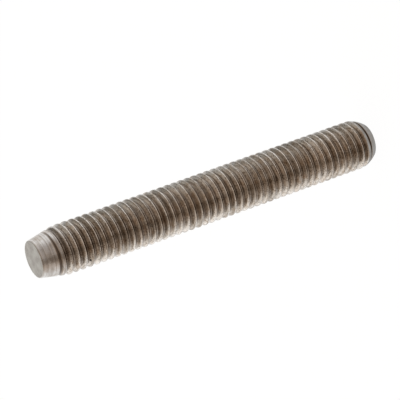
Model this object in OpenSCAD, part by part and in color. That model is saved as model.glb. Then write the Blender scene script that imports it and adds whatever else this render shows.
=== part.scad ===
// Threaded exhaust stud, one turned and rolled piece of stainless steel.
// It stands upright on its crowned foot, with the tapered pilot end on top.
// The axis is Z, and the centre of the foot face is the origin. All sizes are in millimetres.

/* [Stud] */
// Overall length, from the foot face to the pilot face
stud_l = 75.4; // [40:0.1:100]

/* [Thread] */
// Diameter over the crests (M10, a little under nominal as the 6g fit asks)
major_d = 9.9; // [9:0.05:12]
// Distance from one crest to the next
pitch = 1.5; // [1.25:0.05:2]
// Width of the flat along the crest
crest_w = 0.18; // [0.1:0.01:0.3]
// Width of the flat along the root
root_w = 0.33; // [0.2:0.01:0.45]
// Angle between the two flanks of the groove
flank_angle = 60; // [55:1:65]

/* [Pilot end] */
// Diameter of the end face at the top, edge break included
pilot_d = 7.44; // [6:0.02:8]
// Slope of the taper below it, from the axis
pilot_taper = 12.4; // [8:0.1:20]
// Size of the break along the edge of the face
pilot_break = 0.12; // [0.05:0.01:0.3]
// Distance below the face at which the groove reaches its full depth
runout_l = 5; // [3:0.1:8]
// Slope at which the floor of the groove rises above that, from the axis
runout_rise = 5.5; // [2:0.1:10]

/* [Foot end] */
// Diameter of the flat that the stud stands on
foot_d = 7; // [6:0.02:8]
// Height over which the foot swells in a curve to the full diameter
foot_l = 3.6; // [1.5:0.1:6]

/* [Hidden] */

// Flat facets round one turn, with fewer on a long or fine thread so that the count stays below most_facets
most_facets = 11900;
finest_turn = 24;
turns = stud_l / pitch;
corners = 4;                       // crest below, crest above, root below, root above
sides = min(finest_turn, floor(most_facets / (2 * corners * turns)));

major_r = major_d / 2;
flank_run = tan(flank_angle / 2);  // length along the axis for each millimetre of depth
depth = (pitch - crest_w - root_w) / (2 * flank_run);
root_r = major_r - depth;
flank_left = 0.08 * depth;         // least height of flank kept where the groove dies out
break_z = stud_l - pilot_break;    // where the edge break starts
rim_gap = 0.04;                    // least distance between a thread corner and a rim

// Outline that the thread is cut into: the crowned foot, the crest cylinder above it or the pilot
// taper. The crown falls short of the cylinder by the square of the share of its height that is left.
pilot_slope = -tan(pilot_taper);
crown = major_r - foot_d / 2;
function crown_left(z) = max(0, 1 - z / foot_l);
function crown_r(z) = major_r - crown * crown_left(z)^2;
function crown_slope(z) = 2 * crown / foot_l * crown_left(z);
function taper_r(z) = pilot_d / 2 + (z - break_z) * pilot_slope;
function outline_r(z) = min(crown_r(z), taper_r(z));

// Floor of the groove: level along the stud, and rising towards the pilot end
function floor_r(z) = root_r + max(0, z - (stud_l - runout_l)) * tan(runout_rise);

// Radius at which a flank meets a straight stretch of the outline. The flank leaves the
// crest corner at height z, upwards where up is 1 and downwards where it is -1.
function meet(z, r, slope, up) = (r + up * slope * major_r * flank_run) / (1 + up * slope * flank_run);
function flank_top(z, up) = min(
    major_r,
    meet(z, crown_r(z), crown_slope(z), up),
    meet(z, taper_r(z), pilot_slope, up)
);

// One corner of the thread, as [radius, height]. Corners 0 and 1 are the edges of a crest, and
// corners 2 and 3 are the edges of the root above it. All of them slide along their own flank.
function corner(side, j) =
    let (
        k = j % corners,
        crest_z = pitch * (floor(j / corners) - 1 + side / sides),
        up = (k == 1 || k == 2) ? 1 : -1,
        crest_above = (k == 3) ? pitch : 0,
        edge_z = crest_z + crest_above + up * crest_w / 2,
        root = floor_r(crest_z + (k == 0 ? -1 : 1) * pitch / 2),
        flank_r = (k < 2) ? max(root + flank_left, flank_top(edge_z, up)) : root,
        z = edge_z + up * (major_r - flank_r) * flank_run
    )
    [min(flank_r, outline_r(z)), z];

// The corners up one side of the stud, from the foot to the pilot end
last_corner = corners * (ceil(turns) + 3) - 1;
side_corners = [
    for (side = [0:sides - 1])
        [for (j = [0:last_corner]) corner(side, j)]
];
below_foot = [
    for (line = side_corners)
        len([for (c = line) if (c[1] <= rim_gap) 1])
];
lines = [
    for (line = side_corners) concat(
        [[foot_d / 2, 0]],
        [for (c = line) if (c[1] > rim_gap && c[1] < break_z - rim_gap) c],
        [[pilot_d / 2, break_z], [pilot_d / 2 - pilot_break, stud_l]]
    )
];

// Number of the first point of each line in the list of all points
function starts(side = 0, total = 0) =
    side == sides ? [] : concat([total], starts(side + 1, total + len(lines[side])));
line_start = starts();

// Number of the point for corner j of a side; corners past an end share the rim there
function point_of(side, j) =
    line_start[side] + max(0, min(j - below_foot[side] + 1, len(lines[side]) - 2));

// Last point of a side, on the edge of the pilot face
function face_point(side) = line_start[side] + len(lines[side]) - 1;

// Two triangles across the patch a, b, c, d, without any that has shrunk to a line
function patch(a, b, c, d) = [
    for (t = [[a, b, c], [a, c, d]])
        if (t[0] != t[1] && t[1] != t[2] && t[2] != t[0]) t
];

// After one turn the last side meets the first, a whole pitch further up
function next_side(side) = (side + 1) % sides;
function next_shift(side) = side == sides - 1 ? corners : 0;

module stud() {
    points = [
        for (side = [0:sides - 1])
            for (c = lines[side])
                [c[0] * cos(360 * side / sides), c[0] * sin(360 * side / sides), c[1]]
    ];
    thread = [
        for (side = [0:sides - 1])
            let (after = next_side(side), shift = next_shift(side))
                for (j = [-corners:last_corner])
                    each patch(
                        point_of(side, j),
                        point_of(side, j + 1),
                        point_of(after, j + 1 + shift),
                        point_of(after, j + shift)
                    )
    ];
    edge_break = [
        for (side = [0:sides - 1])
            let (after = next_side(side))
                each patch(
                    face_point(side) - 1,
                    face_point(side),
                    face_point(after),
                    face_point(after) - 1
                )
    ];
    foot_face = [for (side = [0:sides - 1]) line_start[side]];
    pilot_face = [for (side = [sides - 1:-1:0]) face_point(side)];
    color("#9b9288")
        polyhedron(points, concat(thread, edge_break, [foot_face, pilot_face]));
}

stud();
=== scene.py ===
"""An M10 exhaust stud: one stainless bar with a rolled thread, a tapered pilot and a crowned foot.

The stud stands on its foot with +Z along its axis. Lengths are in millimetres until a mesh or a
lamp is made, and in metres after that. The long lens is rolled, so that the upright stud lies
across the frame.
"""
import math

import bpy
import numpy as np
from mathutils import Matrix, Vector


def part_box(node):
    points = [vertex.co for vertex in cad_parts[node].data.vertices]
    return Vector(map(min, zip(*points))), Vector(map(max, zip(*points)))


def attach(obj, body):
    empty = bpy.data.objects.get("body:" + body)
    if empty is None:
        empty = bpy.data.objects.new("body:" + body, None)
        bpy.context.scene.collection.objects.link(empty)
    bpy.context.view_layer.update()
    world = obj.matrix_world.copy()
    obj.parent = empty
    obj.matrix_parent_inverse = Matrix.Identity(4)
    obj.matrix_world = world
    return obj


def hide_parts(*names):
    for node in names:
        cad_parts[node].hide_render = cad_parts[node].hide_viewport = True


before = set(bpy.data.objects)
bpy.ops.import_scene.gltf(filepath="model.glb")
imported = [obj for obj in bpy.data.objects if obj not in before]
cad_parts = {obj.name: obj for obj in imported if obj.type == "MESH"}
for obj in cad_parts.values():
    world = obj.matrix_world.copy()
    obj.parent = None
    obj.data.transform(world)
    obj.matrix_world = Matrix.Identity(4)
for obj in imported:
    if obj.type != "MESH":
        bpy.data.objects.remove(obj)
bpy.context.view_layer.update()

MM = 0.001                                      # one millimetre, in metres

# ---- sizes of the stud, in millimetres ----------------------------------------------------------
STUD_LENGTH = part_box("stud")[1].z / MM
MAJOR_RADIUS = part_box("stud")[1].x / MM         # over the crests
PITCH = 1.5
CREST_WIDTH = 0.18
ROOT_WIDTH = 0.33
FLANK_SLOPE = 1 / math.tan(math.radians(30))    # depth gained for each millimetre along the axis
DEPTH = (PITCH - CREST_WIDTH - ROOT_WIDTH) / 2 * FLANK_SLOPE
RUNOUT_LENGTH = 5.0                             # the groove is at full depth below this
RUNOUT_SLOPE = math.tan(math.radians(5.5))
PILOT_RADIUS = 3.72
PILOT_SLOPE = math.tan(math.radians(12.4))
PILOT_BREAK = 0.12                              # height of the rounded edge of its end face
PILOT_BREAK_WIDTH = 0.14
FOOT_RADIUS = 3.5
FOOT_LENGTH = 3.6                               # the crowned foot ends this far up
FOOT_BREAK = 0.06
FOOT_LAND = 0.3                                 # the last crest is this much wider
FOOT_LAND_SPAN = (3.1, 1.9)                     # and widens from the first height to the second

# ---- how far each corner is rounded over, in millimetres ----------------------------------------
CREST_ROUNDING = 0.05
ROOT_ROUNDING = 0.16
OUTLINE_ROUNDING = 0.06                         # between the foot and the taper
CLIP_ROUNDING = 0.02                            # between the thread and the bar's outline

# ---- grid of the mesh ---------------------------------------------------------------------------
SIDES = 96                                      # round one turn
CREST_STEPS = 3                                 # these three go from mid crest to mid root
FLANK_STEPS = 3
ROOT_STEPS = 3
LAND_REACH = 0.75                               # of its width, from the middle of a crest or root
SPARE_TURNS = 2                                 # past each end, where the rims then cut them off
BREAK_STEPS = 4                                 # over the rounded edge of an end face
FACE_RINGS = 12
RING_CROWDING = 0.7                             # under 1, the rings are closest near the edge
RIM_GAP = 0.03                                  # a point of the thread this close to a rim joins it
WELD = 1e-5                                     # points closer than this become one

# ---- where the finishes and the painted shade start and are complete, as depths in millimetres ---
TURNED_DEPTH = (0.06, 0.16)                     # the turned outline, under the crests
TURNED_EDGE = (0.06, 0.0)                       # the groove, under the turned outline
# the shallow grooves cut into the outline are painted dark as shade over these two spans
PART_GROOVE = (0.1, 0.5)                        # the outline where the grooves are only part cut
POCKET_EDGE = (0.02, 0.12)                      # the surface, under the outline
# the nick has no dent: its dark spot is painted shade
NICK = (-4.0, 1.87, 65.57)                      # a dark nick in a flank near the pilot end
NICK_SIZE = (0.4, 0.5, 0.22)                    # its half sizes: in depth, along the helix, across it
NICK_FADE = (1.0, 0.5)                          # from its middle, in half sizes
FADE_SOCKETS = ("Value", "From Min", "From Max")    # of the node that takes such a span

# ---- patterns of the finishes, as so many to the millimetre -------------------------------------
TINT_PATCHES = 0.65                             # about 1.5 mm across
RESIDUE_SPECKS = 4.0                            # about 0.25 mm across
DIE_LINES = 4.0                                 # across the helix; the real ones are finer
LATHE_RINGS = 4.5                               # along the axis; the real ones are finer
ALONG_MARKS = 0.12                              # the way that the lines and the rings run
TURN_DRIFT = 0.25                               # how the lines change from one turn to the next
FACED_PATCHES = 0.7                             # about 1.4 mm across
FACED_RINGS = 1.3                               # rings 0.24 mm apart; the real ones are finer
MARK_HEIGHT = 0.04                              # in millimetres, of the lines, rings and specks
FACED_MARK_HEIGHT = 0.004
SPECK_SHARE = 0.4                               # of the specks in that height
SPECK_RANGE = (0.3, 0.7)                        # nearly all of the pattern lies between these
THREAD_ROUGHNESS = (0.12, 0.24)                 # over that range: burnished by the dies
FACED_ROUGHNESS = 0.34                          # satin, from the tool


def fade(value, start, end):
    """How far the value has gone from start, over the whole way to end, kept between 0 and 1."""
    return np.clip((value - start) / (end - start), 0, 1)


def soft_least(a, b, blend):
    """The lesser of a and b, with the corner between them rounded over about blend.

    It is half of their sum, less half of the root of the squared difference plus the squared blend.
    """
    return 0.5 * (a + b - np.sqrt((a - b) ** 2 + blend**2))


def soft_most(a, b, blend):
    """The greater of a and b, with the corner between them rounded over about blend.

    It is half of their sum, and half of the root of the squared difference plus the squared blend.
    """
    return 0.5 * (a + b + np.sqrt((a - b) ** 2 + blend**2))


def outline_radius(z):
    """The bar before threading: the lesser of its crowned foot and the pilot taper.

    The foot falls short of the crest cylinder by the square of the share of its length that is left.
    """
    left = np.maximum(0, 1 - z / FOOT_LENGTH)
    foot = MAJOR_RADIUS - (MAJOR_RADIUS - FOOT_RADIUS) * left**2
    taper = PILOT_RADIUS + (STUD_LENGTH - PILOT_BREAK - z) * PILOT_SLOPE
    return soft_least(foot, taper, OUTLINE_ROUNDING)


def groove_radius(z, turn):
    """The rolled groove at height z, at that many turns round the axis.

    Its depth is the distance from the edge of the nearest crest times the slope of the flank, and
    never less than nothing or more than the floor allows. The floor rises near the pilot end, and
    the crest widens near the foot.
    """
    lead = z / PITCH - turn
    from_crest = np.abs(lead - np.round(lead)) * PITCH
    crest_width = CREST_WIDTH + FOOT_LAND * fade(z, *FOOT_LAND_SPAN)
    depth = soft_most((from_crest - crest_width / 2) * FLANK_SLOPE, 0, CREST_ROUNDING)
    floor = MAJOR_RADIUS - DEPTH + RUNOUT_SLOPE * np.maximum(0, z - (STUD_LENGTH - RUNOUT_LENGTH))
    return soft_most(MAJOR_RADIUS - depth, floor, ROOT_ROUNDING)


def pitch_shares():
    """Where the grid cuts one pitch, as shares of it: closest on the crest and in the root.

    Even steps go from the middle of the crest past its edge, then down the flank, then to the middle
    of the root. The other half of the pitch mirrors them.
    """
    crest_edge = LAND_REACH * CREST_WIDTH / PITCH
    root_edge = 0.5 - LAND_REACH * ROOT_WIDTH / PITCH
    half = np.concatenate([
        np.linspace(0, crest_edge, CREST_STEPS, endpoint=False),
        np.linspace(crest_edge, root_edge, FLANK_STEPS, endpoint=False),
        np.linspace(root_edge, 0.5, ROOT_STEPS, endpoint=False),
    ])
    return np.concatenate([half, [0.5], 1 - half[:0:-1]])


def points_at(radius, turn, z):
    """Points at a radius, a number of turns round the axis and a height, as an array [..., 3].

    The angle is a full circle times the turns, and x and y are the radius times its cosine and sine.
    """
    angle = 2 * np.pi * turn
    return np.stack(np.broadcast_arrays(radius * np.cos(angle), radius * np.sin(angle), z), axis=-1)


def thread_grid():
    """The long surface, as [side, step]: each line of steps follows the helix round to the next turn.

    The height is the pitch times the share of it plus the turns round the axis, and stops at the
    two rims. The radius is the lesser of the bar's outline and the groove.
    """
    turns = np.arange(-SPARE_TURNS, math.ceil(STUD_LENGTH / PITCH) + SPARE_TURNS)
    share = (turns[:, None] + pitch_shares()[None, :]).ravel()
    side = (np.arange(SIDES) / SIDES)[:, None]
    z = PITCH * (share[None, :] + side)
    low, high = FOOT_BREAK, STUD_LENGTH - PILOT_BREAK
    z = np.where(z < low + RIM_GAP, low, np.where(z > high - RIM_GAP, high, z))
    outline = outline_radius(z)
    radius = soft_least(groove_radius(z, side), outline, CLIP_ROUNDING)
    radius = np.where((z == low) | (z == high), outline, radius)
    return points_at(radius, side, z)


def face_grid(rim_radius, rim_z, face_z, break_width):
    """An end face with its rounded edge, as [side, ring]: a quarter round, then rings to the centre.

    The edge comes in by its width times one less the cosine of an angle, and goes up by its height
    times the sine. The radius of a ring is that of the flat face times a power of the share of the
    way that is left to the centre.
    """
    angle = np.linspace(0, np.pi / 2, BREAK_STEPS + 1)
    edge_radius = rim_radius - break_width * (1 - np.cos(angle))
    edge_z = rim_z + (face_z - rim_z) * np.sin(angle)
    ring_radius = (rim_radius - break_width) * np.linspace(1, 0, FACE_RINGS + 1)[1:] ** RING_CROWDING
    radius = np.concatenate([edge_radius, ring_radius])
    z = np.concatenate([edge_z, np.full(FACE_RINGS, face_z)])
    side = (np.arange(SIDES) / SIDES)[:, None]
    return points_at(radius[None, :], side, z[None, :])


def grid_triangles(sides, steps, shift, outward):
    """Corner numbers of two triangles a cell. The last side meets the first, that many steps on."""
    side, step = np.meshgrid(np.arange(sides), np.arange(steps - 1), indexing="ij")
    after = (side + 1) % sides
    moved = step + np.where(side == sides - 1, shift, 0)
    kept = moved + 1 < steps
    a = side * steps + step
    b = after * steps + moved
    first = np.stack([a, b, b + 1], axis=-1)[kept]
    second = np.stack([a, b + 1, a + 1], axis=-1)[kept]
    triangles = np.concatenate([first, second])
    return triangles if outward else triangles[:, ::-1]


def weld(grids):
    """One list of points and triangles from several grids: equal points become one."""
    points, triangles, start = [], [], 0
    for grid, shift, outward in grids:
        sides, steps = grid.shape[:2]
        points.append(grid.reshape(-1, 3))
        triangles.append(grid_triangles(sides, steps, shift, outward) + start)
        start += sides * steps
    points, triangles = np.concatenate(points), np.concatenate(triangles)
    cells = np.round(points / WELD)
    _, first, number = np.unique(cells, axis=0, return_index=True, return_inverse=True)
    triangles = number.reshape(-1)[triangles]
    a, b, c = triangles.T
    triangles = triangles[(a != b) & (b != c) & (c != a)]
    used, triangles = np.unique(triangles, return_inverse=True)
    return points[first][used], triangles.reshape(-1, 3)


def stud_attributes(points):
    """What the finishes follow, worked out again from where each point lies.

    lane is a place on a circle one pitch long, which it goes round once from one crest to the next.
    groove is the share of the full depth, turned is 1 where the surface is the bar's own turned
    outline, and pocket is 1 in the part grooves that are cut into it.
    """
    x, y, z = points.T
    turn = np.arctan2(y, x) / (2 * np.pi)
    radius = np.hypot(x, y)
    outline = outline_radius(z)
    lead = 2 * np.pi * (z / PITCH - turn)
    lane_radius = PITCH / (2 * np.pi)
    lane = np.stack([lane_radius * np.cos(lead), lane_radius * np.sin(lead), np.zeros_like(z)], axis=-1)
    cut_depth = MAJOR_RADIUS - outline
    on_outline = fade(outline - groove_radius(z, turn), *TURNED_EDGE)
    return {
        "lane": lane,
        "groove": fade(MAJOR_RADIUS - radius, 0, DEPTH),
        "turned": fade(cut_depth, *TURNED_DEPTH) * on_outline,
        # where the shallow grooves cut into the outline are painted dark as shade
        "pocket_shade": fade(cut_depth, *PART_GROOVE) * fade(outline - radius, *POCKET_EDGE),
    }


def srgb(code):
    """A hex colour as linear red, green, blue and full alpha."""
    parts = [int(code[i:i + 2], 16) / 255 for i in (1, 3, 5)]
    return [c / 12.92 if c <= 0.04045 else ((c + 0.055) / 1.055) ** 2.4 for c in parts] + [1.0]


def add(tree, kind, inputs=None, stops=(), **settings):
    """Adds a node with its settings and links, and returns its outputs.

    Each input is named or numbered, and takes an output, a hex colour or a plain value. The stops
    are those of a colour ramp, each a position and a hex colour.
    """
    node = tree.nodes.new(kind)
    for name, value in settings.items():
        setattr(node, name, value)
    for socket, value in (inputs or {}).items():
        if isinstance(value, bpy.types.NodeSocket):
            tree.links.new(value, node.inputs[socket])
        else:
            node.inputs[socket].default_value = srgb(value) if isinstance(value, str) else value
    for number, (position, code) in enumerate(stops):
        elements = node.color_ramp.elements
        element = elements[number] if number < 2 else elements.new(position)
        element.position = position
        element.color = srgb(code)
    return node.outputs


def new_material(name):
    """An empty material, and its tree of nodes."""
    material = bpy.data.materials.new(name)
    material.use_nodes = True
    material.node_tree.nodes.clear()
    return material, material.node_tree


def layered(tree, colour, layers):
    """Lays colours over a first one, each with its blend and share. Sockets 6, 7 and 2 are colours."""
    for blend, share, top in layers:
        inputs = {0: share, 6: colour, 7: top}
        colour = add(tree, "ShaderNodeMix", inputs, data_type="RGBA", blend_type=blend)[2]
    return colour


def finish_metal(tree, colour, roughness, normal):
    """A metal with the default index of refraction, and its output."""
    metal = add(tree, "ShaderNodeBsdfPrincipled", {
        "Base Color": colour, "Metallic": 1.0, "Roughness": roughness, "Normal": normal,
    })
    add(tree, "ShaderNodeOutputMaterial", {"Surface": metal["BSDF"]})


def millimetres(tree):
    """Object coordinates in millimetres, so that a pattern's scale is so many to the millimetre."""
    place = add(tree, "ShaderNodeTexCoord")["Object"]
    return add(tree, "ShaderNodeMapping", {"Vector": place, "Scale": (1 / MM,) * 3})[0]


def threaded_stainless():
    """Austenitic stainless, thread rolled and its two ends turned.

    Rolling leaves pale burnished crests, brown flanks with fine lines along the helix, and specks of dark
    residue. Darker with depth is painted shade, most at the foot of the flanks, and the shallow grooves cut
    into the outline are painted dark as shade. Turning leaves lighter steel with fine rings.
    """
    material, tree = new_material("threaded_stainless")
    mm = millimetres(tree)
    lane = add(tree, "ShaderNodeAttribute", attribute_name="lane")["Vector"]
    groove, turned, pocket_shade = (
        add(tree, "ShaderNodeAttribute", attribute_name=name)["Fac"]
        for name in ("groove", "turned", "pocket_shade")
    )

    # patches of tint, and specks of residue
    patches = add(tree, "ShaderNodeTexNoise", {"Vector": mm, "Scale": TINT_PATCHES, "Detail": 3.0})[0]
    specks = add(tree, "ShaderNodeTexNoise", {"Vector": mm, "Scale": RESIDUE_SPECKS, "Detail": 3.0})[0]

    # lines of the dies along the helix, darkened by residue, and rings of the tool: both finer in
    # the real one, and drawn here about 0.25 mm apart so that they show
    drift = add(tree, "ShaderNodeMapping", {
        "Vector": mm, "Scale": (ALONG_MARKS, ALONG_MARKS, TURN_DRIFT),
    })[0]
    spread = {0: lane, 1: (DIE_LINES,) * 3, 2: drift}
    across = add(tree, "ShaderNodeVectorMath", spread, operation="MULTIPLY_ADD")[0]
    die_lines = add(tree, "ShaderNodeTexNoise", {"Vector": across, "Scale": 1.0, "Detail": 2.0})[0]
    stretch = add(tree, "ShaderNodeMapping", {
        "Vector": mm, "Scale": (ALONG_MARKS, ALONG_MARKS, LATHE_RINGS),
    })[0]
    rings = add(tree, "ShaderNodeTexNoise", {"Vector": stretch, "Scale": 1.0, "Detail": 1.0})[0]

    # pale on the crests; darker with depth is painted shade, darkest at the foot of the flanks by the root
    tone_and_depth_shade = add(tree, "ShaderNodeValToRGB", {"Fac": groove}, (
        (0.0, "#f4f2ee"), (0.08, "#e2deda"), (0.45, "#ddd8d1"),
        (0.7, "#d1cac2"), (0.88, "#a8a098"), (1.0, "#b2aaa3"),
    ))[0]

    # in this order: faint tan on the rolled steel, dark residue in specks and in the lines of the
    # dies, brown on the turned steel, and grey in the rings of the tool
    tint, grime, streaks, turned_tint, tool_marks = (
        add(tree, "ShaderNodeValToRGB", {"Fac": pattern}, stops)[0]
        for pattern, stops in (
            (patches, ((0.3, "#e6dace"), (0.5, "#fbf8f5"), (0.7, "#f6f6f6"))),
            (specks, ((0.34, "#a89f96"), (0.47, "#ffffff"))),
            (die_lines, ((0.4, "#c3beb8"), (0.54, "#ffffff"))),
            (patches, ((0.36, "#c6beb6"), (0.58, "#dedbd8"))),
            (rings, ((0.34, "#d8d4d0"), (0.6, "#ffffff"))),
        )
    )

    # the nick's own place: X runs outwards from the axis, Y nearly along the helix
    outwards = (0, 0, math.atan2(NICK[1], NICK[0]))
    nick_place = add(tree, "ShaderNodeMapping", {
        "Vector": mm, "Location": NICK, "Rotation": outwards, "Scale": NICK_SIZE,
    }, vector_type="TEXTURE")[0]
    away = add(tree, "ShaderNodeVectorMath", {0: nick_place}, operation="LENGTH")["Value"]
    nick_shade = add(tree, "ShaderNodeMapRange", dict(zip(FADE_SOCKETS, (away, *NICK_FADE))))[0]

    turned_colour = layered(tree, turned_tint, (("MULTIPLY", 1.0, tool_marks),))
    colour = layered(tree, tone_and_depth_shade, (
        ("MULTIPLY", 1.0, tint),
        ("MULTIPLY", 1.0, grime),
        ("MULTIPLY", 1.0, streaks),
        # painted shade: the shallow grooves cut into the outline are darkened like the deep ones
        ("MIX", pocket_shade, "#645950"),
        ("MIX", turned, turned_colour),
        # painted shade: the nick is only this dark spot, with no dent
        ("MIX", nick_shade, "#2e2823"),
    ))
    roughness = add(tree, "ShaderNodeMapRange", {
        "Value": specks, "From Min": SPECK_RANGE[0], "From Max": SPECK_RANGE[1],
        "To Min": THREAD_ROUGHNESS[0], "To Max": THREAD_ROUGHNESS[1],
    })[0]

    marks = add(tree, "ShaderNodeMix", {0: turned, 2: die_lines, 3: rings})[0]
    relief = {0: specks, 1: SPECK_SHARE, 2: marks}
    height = add(tree, "ShaderNodeMath", relief, operation="MULTIPLY_ADD")[0]
    bump = add(tree, "ShaderNodeBump", {"Height": height, "Strength": 1.0, "Distance": MARK_HEIGHT * MM})
    finish_metal(tree, colour, roughness, bump["Normal"])
    return material


def faced_stainless():
    """The same steel faced off in a lathe: flat, light and satin, with faint patches and fine rings."""
    material, tree = new_material("faced_stainless")
    mm = millimetres(tree)
    patches = add(tree, "ShaderNodeTexNoise", {"Vector": mm, "Scale": FACED_PATCHES, "Detail": 4.0})[0]
    colour = add(tree, "ShaderNodeValToRGB", {"Fac": patches}, ((0.35, "#b5b0aa"), (0.65, "#cccac3")))[0]
    rings = add(tree, "ShaderNodeTexWave", {
        "Vector": mm, "Scale": FACED_RINGS, "Distortion": 0.6, "Detail": 1.0,
    }, wave_type="RINGS", rings_direction="Z")["Fac"]
    bump = add(tree, "ShaderNodeBump", {
        "Height": rings, "Strength": 0.3, "Distance": FACED_MARK_HEIGHT * MM,
    })
    finish_metal(tree, colour, FACED_ROUGHNESS, bump["Normal"])
    return material


def make_stud():
    """One closed surface: the threaded length, and an end face with a rounded edge at each end."""
    foot_rim = float(outline_radius(FOOT_BREAK))
    pilot_z = STUD_LENGTH - PILOT_BREAK
    points, triangles = weld([
        (thread_grid(), len(pitch_shares()), True),
        (face_grid(float(outline_radius(pilot_z)), pilot_z, STUD_LENGTH, PILOT_BREAK_WIDTH), 0, True),
        (face_grid(foot_rim, FOOT_BREAK, 0, foot_rim - FOOT_RADIUS + FOOT_BREAK), 0, False),
    ])
    mesh = bpy.data.meshes.new("stud_surface")
    mesh.vertices.add(len(points))
    mesh.vertices.foreach_set("co", (points * MM).astype(np.float32).ravel())
    mesh.loops.add(triangles.size)
    mesh.loops.foreach_set("vertex_index", triangles.astype(np.int32).ravel())
    mesh.polygons.add(len(triangles))
    mesh.polygons.foreach_set("loop_start", np.arange(0, triangles.size, 3, dtype=np.int32))
    mesh.polygons.foreach_set("use_smooth", np.ones(len(triangles), dtype=bool))
    for name, values in stud_attributes(points).items():
        kind, field = ("FLOAT_VECTOR", "vector") if values.ndim > 1 else ("FLOAT", "value")
        attribute = mesh.attributes.new(name, kind, "POINT")
        attribute.data.foreach_set(field, values.astype(np.float32).ravel())

    mesh.materials.append(threaded_stainless())
    mesh.materials.append(faced_stainless())
    heights = points[triangles][:, :, 2]
    on_foot = np.all(heights < FOOT_BREAK / 2, axis=1)
    on_pilot = np.all(heights > STUD_LENGTH - PILOT_BREAK / 2, axis=1)
    mesh.polygons.foreach_set("material_index", (on_foot | on_pilot).astype(np.int32))
    mesh.update(calc_edges=True)
    mesh.validate()

    stud = bpy.data.objects.new("threaded_stud", mesh)
    bpy.context.scene.collection.objects.link(stud)
    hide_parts("stud")
    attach(stud, "root")


make_stud()

# ---- camera: above and beside the pilot end, rolled so that the axis lies across the frame ------
VIEW_AZIMUTH = -146.778                         # of the camera's place, in degrees from +X
VIEW_DOWN = 24.859                              # how far it looks down, in degrees
VIEW_ROLL = -109.703                            # about its line of sight, in degrees
VIEW_DISTANCE = 486.79                          # in millimetres, from the target
VIEW_TARGET = (0.022, 0.013, 38.888)
VIEW_LENS = 226.11
VIEW_CLIP = (0.01, 100)                         # in metres


def make_camera():
    """A long lens at its distance from the target, turned about its line of sight by the roll."""
    azimuth, down, roll = map(math.radians, (VIEW_AZIMUTH, VIEW_DOWN, VIEW_ROLL))
    back = Vector((math.cos(azimuth) * math.cos(down), math.sin(azimuth) * math.cos(down), math.sin(down)))
    level = Vector((-math.sin(azimuth), math.cos(azimuth), 0))
    rise = back.cross(level)
    right = level * math.cos(roll) + rise * math.sin(roll)
    up = rise * math.cos(roll) - level * math.sin(roll)
    data = bpy.data.cameras.new("long_lens")
    data.lens = VIEW_LENS
    data.clip_start, data.clip_end = VIEW_CLIP
    camera = bpy.data.objects.new("camera", data)
    place = (Vector(VIEW_TARGET) + back * VIEW_DISTANCE) * MM
    camera.matrix_world = Matrix.Translation(place) @ Matrix((right, up, back)).transposed().to_4x4()
    bpy.context.scene.collection.objects.link(camera)
    bpy.context.scene.camera = camera


make_camera()

# ---- stage, in metres ---------------------------------------------------------------------------
FLOOR_RADIUS = 3.0
FLOOR_SIDES = 64
LIT_SHARE = 0.1                                 # of the floor's white; it holds the soft shadow
LIT_LACK = 0.07                                 # what the glow adds so that both make a plain white
# the floor within this reach of the axis is painted grey as a contact shadow round the foot, seen only in
# reflections
UNDER_FOOT = (0.012, 0.008)                     # from the axis: the floor that only the foot reflects
# the far sector is a painted soft shadow of the stud on the floor within this reach, and a dimmer patch of
# the sky by height
FAR_FLOOR = (0.24, 0.14)                        # from the axis: the far sector's share of the floor
FAR_SKY = (0.1, 0.3)                            # and of the sky, by height
# each sector of the studio: its degrees clockwise from the camera, the cosines of the angles from
# there to its edge and to its core, and its tone
DIM_SECTOR = (14, -0.3, 0.9, "#d3c5b9")
DARK_SECTOR = (32, 0.92, 0.99, "#cac6c1")
LOW_SECTOR = (-5, 0.17, 0.94, "#d5d9df")
# a painted soft shadow of the stud on the floor near it, and dimmer sky above
FAR_SHADE_SECTOR = (-140, 0.88, 0.98, "#dde0e2")
SOFTBOX_CLOCKWISE = 143                         # from the camera, in degrees
SOFTBOX_ELEVATION = 33
SOFTBOX_DISTANCE = 0.5
SOFTBOX_SIZE = 0.46
SOFTBOX_WATTS = 0.3


def level_direction(clockwise):
    """A level direction from the stud: degrees clockwise from the camera's, seen from above."""
    angle = math.radians(VIEW_AZIMUTH - clockwise)
    return Vector((math.cos(angle), math.sin(angle), 0))


def studio_shade(tree, direction, colour, far_share):
    """The lights stand behind the stud, so the studio is dim and warm towards the camera.

    It is darkest over a narrow sector beside the camera, and cooler and dimmer over one on the far side
    as far as far_share goes, where on the floor it is a painted soft shadow of the stud. Where far_share
    ends, which is round the horizon, the near side is dimmer again. All of them go by level direction.
    """
    low_share = add(tree, "ShaderNodeMath", {0: 1.0, 1: far_share}, operation="SUBTRACT")[0]
    level = add(tree, "ShaderNodeVectorMath", {0: direction, 1: (1, 1, 0)}, operation="MULTIPLY")[0]
    level = add(tree, "ShaderNodeVectorMath", {0: level}, operation="NORMALIZE")[0]
    for sector, most in (
        (DIM_SECTOR, 1.0), (DARK_SECTOR, 1.0), (LOW_SECTOR, low_share), (FAR_SHADE_SECTOR, far_share),
    ):
        clockwise, edge, core, tone = sector
        towards = level_direction(clockwise)
        facing = add(tree, "ShaderNodeVectorMath", {0: level, 1: towards}, operation="DOT_PRODUCT")["Value"]
        share = add(tree, "ShaderNodeMapRange", {
            "Value": facing, "From Min": edge, "From Max": core, "To Max": most,
        }, interpolation_type="SMOOTHSTEP")[0]
        colour = layered(tree, colour, (("MULTIPLY", share, tone),))
    return colour


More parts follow.
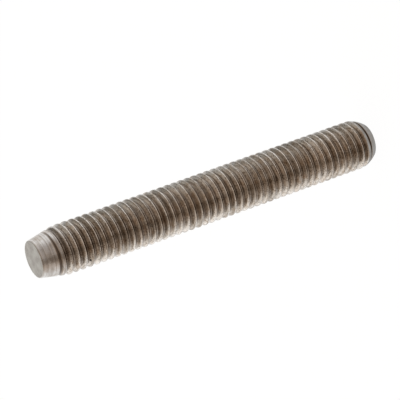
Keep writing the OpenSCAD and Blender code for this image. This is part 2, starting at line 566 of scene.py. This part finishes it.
def make_floor():
    """A white disc, plain white to the camera. Most of its white is its own glow, and the lit rest holds
    the stud's shadow. To reflections it also shows the studio's shade, a painted contact shadow round the
    foot and a painted soft shadow of the stud.
    """
    material, tree = new_material("white_floor")
    place = add(tree, "ShaderNodeTexCoord")["Object"]
    reach = add(tree, "ShaderNodeVectorMath", {0: place}, operation="LENGTH")["Value"]
    far, under = (
        add(tree, "ShaderNodeMapRange", dict(zip(FADE_SOCKETS, (reach, *span))))[0]
        for span in (FAR_FLOOR, UNDER_FOOT)
    )
    path = add(tree, "ShaderNodeLightPath")
    # to reflections the floor shows the studio's shade and a painted soft shadow of the stud
    shade = layered(tree, studio_shade(tree, place, "#ffffff", far), (
        # painted contact shadow round the foot, which only reflections see
        ("MIX", under, "#b8b9b9"),
        ("MIX", path["Is Camera Ray"], "#ffffff"),
    ))
    seen = path["Is Camera Ray"]
    seen = add(tree, "ShaderNodeMath", {0: seen, 1: LIT_LACK, 2: seen}, operation="MULTIPLY_ADD")[0]
    for ray in ("Is Glossy Ray", "Is Transmission Ray"):
        seen = add(tree, "ShaderNodeMath", {0: path[ray], 1: seen}, operation="MAXIMUM")[0]
    glow = add(tree, "ShaderNodeEmission", {"Color": shade, "Strength": seen})[0]
    paint = add(tree, "ShaderNodeBsdfDiffuse", {"Color": "#f4f4f4"})[0]
    both = add(tree, "ShaderNodeMixShader", {0: LIT_SHARE, 1: glow, 2: paint})[0]
    add(tree, "ShaderNodeOutputMaterial", {"Surface": both})

    angle = np.linspace(0, 2 * np.pi, FLOOR_SIDES, endpoint=False)
    rim = FLOOR_RADIUS * np.stack([np.cos(angle), np.sin(angle), np.zeros(FLOOR_SIDES)], axis=-1)
    mesh = bpy.data.meshes.new("floor_disc")
    mesh.from_pydata(rim.tolist(), [], [list(range(FLOOR_SIDES))])
    mesh.materials.append(material)
    floor = bpy.data.objects.new("floor", mesh)
    bpy.context.scene.collection.objects.link(floor)


def make_softbox():
    """The key light, behind the stud and above it, facing its middle."""
    data = bpy.data.lights.new("key_softbox", "AREA")
    data.shape = "SQUARE"
    data.size = SOFTBOX_SIZE
    data.energy = SOFTBOX_WATTS
    lamp = bpy.data.objects.new("key_softbox", data)
    elevation = math.radians(SOFTBOX_ELEVATION)
    away = level_direction(SOFTBOX_CLOCKWISE) * math.cos(elevation) + Vector((0, 0, math.sin(elevation)))
    lamp.location = Vector((0, 0, STUD_LENGTH / 2 * MM)) + away * SOFTBOX_DISTANCE
    lamp.rotation_mode = "QUATERNION"
    lamp.rotation_quaternion = away.to_track_quat("Z", "Y")
    lamp.visible_camera = False
    bpy.context.scene.collection.objects.link(lamp)


def make_world():
    """White round the horizon and warm grey overhead, as in a studio with a high ceiling."""
    world = bpy.data.worlds.new("studio")
    world.use_nodes = True
    tree = world.node_tree
    tree.nodes.clear()
    direction = add(tree, "ShaderNodeTexCoord")["Generated"]
    height = add(tree, "ShaderNodeSeparateXYZ", {"Vector": direction})["Z"]
    ceiling = add(tree, "ShaderNodeValToRGB", {"Fac": height}, (
        (0.0, "#ffffff"), (0.25, "#efefef"), (0.4, "#cac9c8"),
        (0.6, "#d2ccc4"), (0.9, "#b0a499"), (1.0, "#a09286"),
    ))["Color"]
    high = add(tree, "ShaderNodeMapRange", dict(zip(FADE_SOCKETS, (height, *FAR_SKY))))[0]
    shade = add(tree, "ShaderNodeBackground", {"Color": studio_shade(tree, direction, ceiling, high)})[0]
    white = add(tree, "ShaderNodeBackground", {"Color": "#ffffff", "Strength": 1.0})[0]
    camera_ray = add(tree, "ShaderNodeLightPath")["Is Camera Ray"]
    seen = add(tree, "ShaderNodeMixShader", {0: camera_ray, 1: shade, 2: white})[0]
    add(tree, "ShaderNodeOutputWorld", {"Surface": seen})
    bpy.context.scene.world = world


make_floor()
make_world()
make_softbox()

bpy.context.scene.view_settings.view_transform = "Standard"
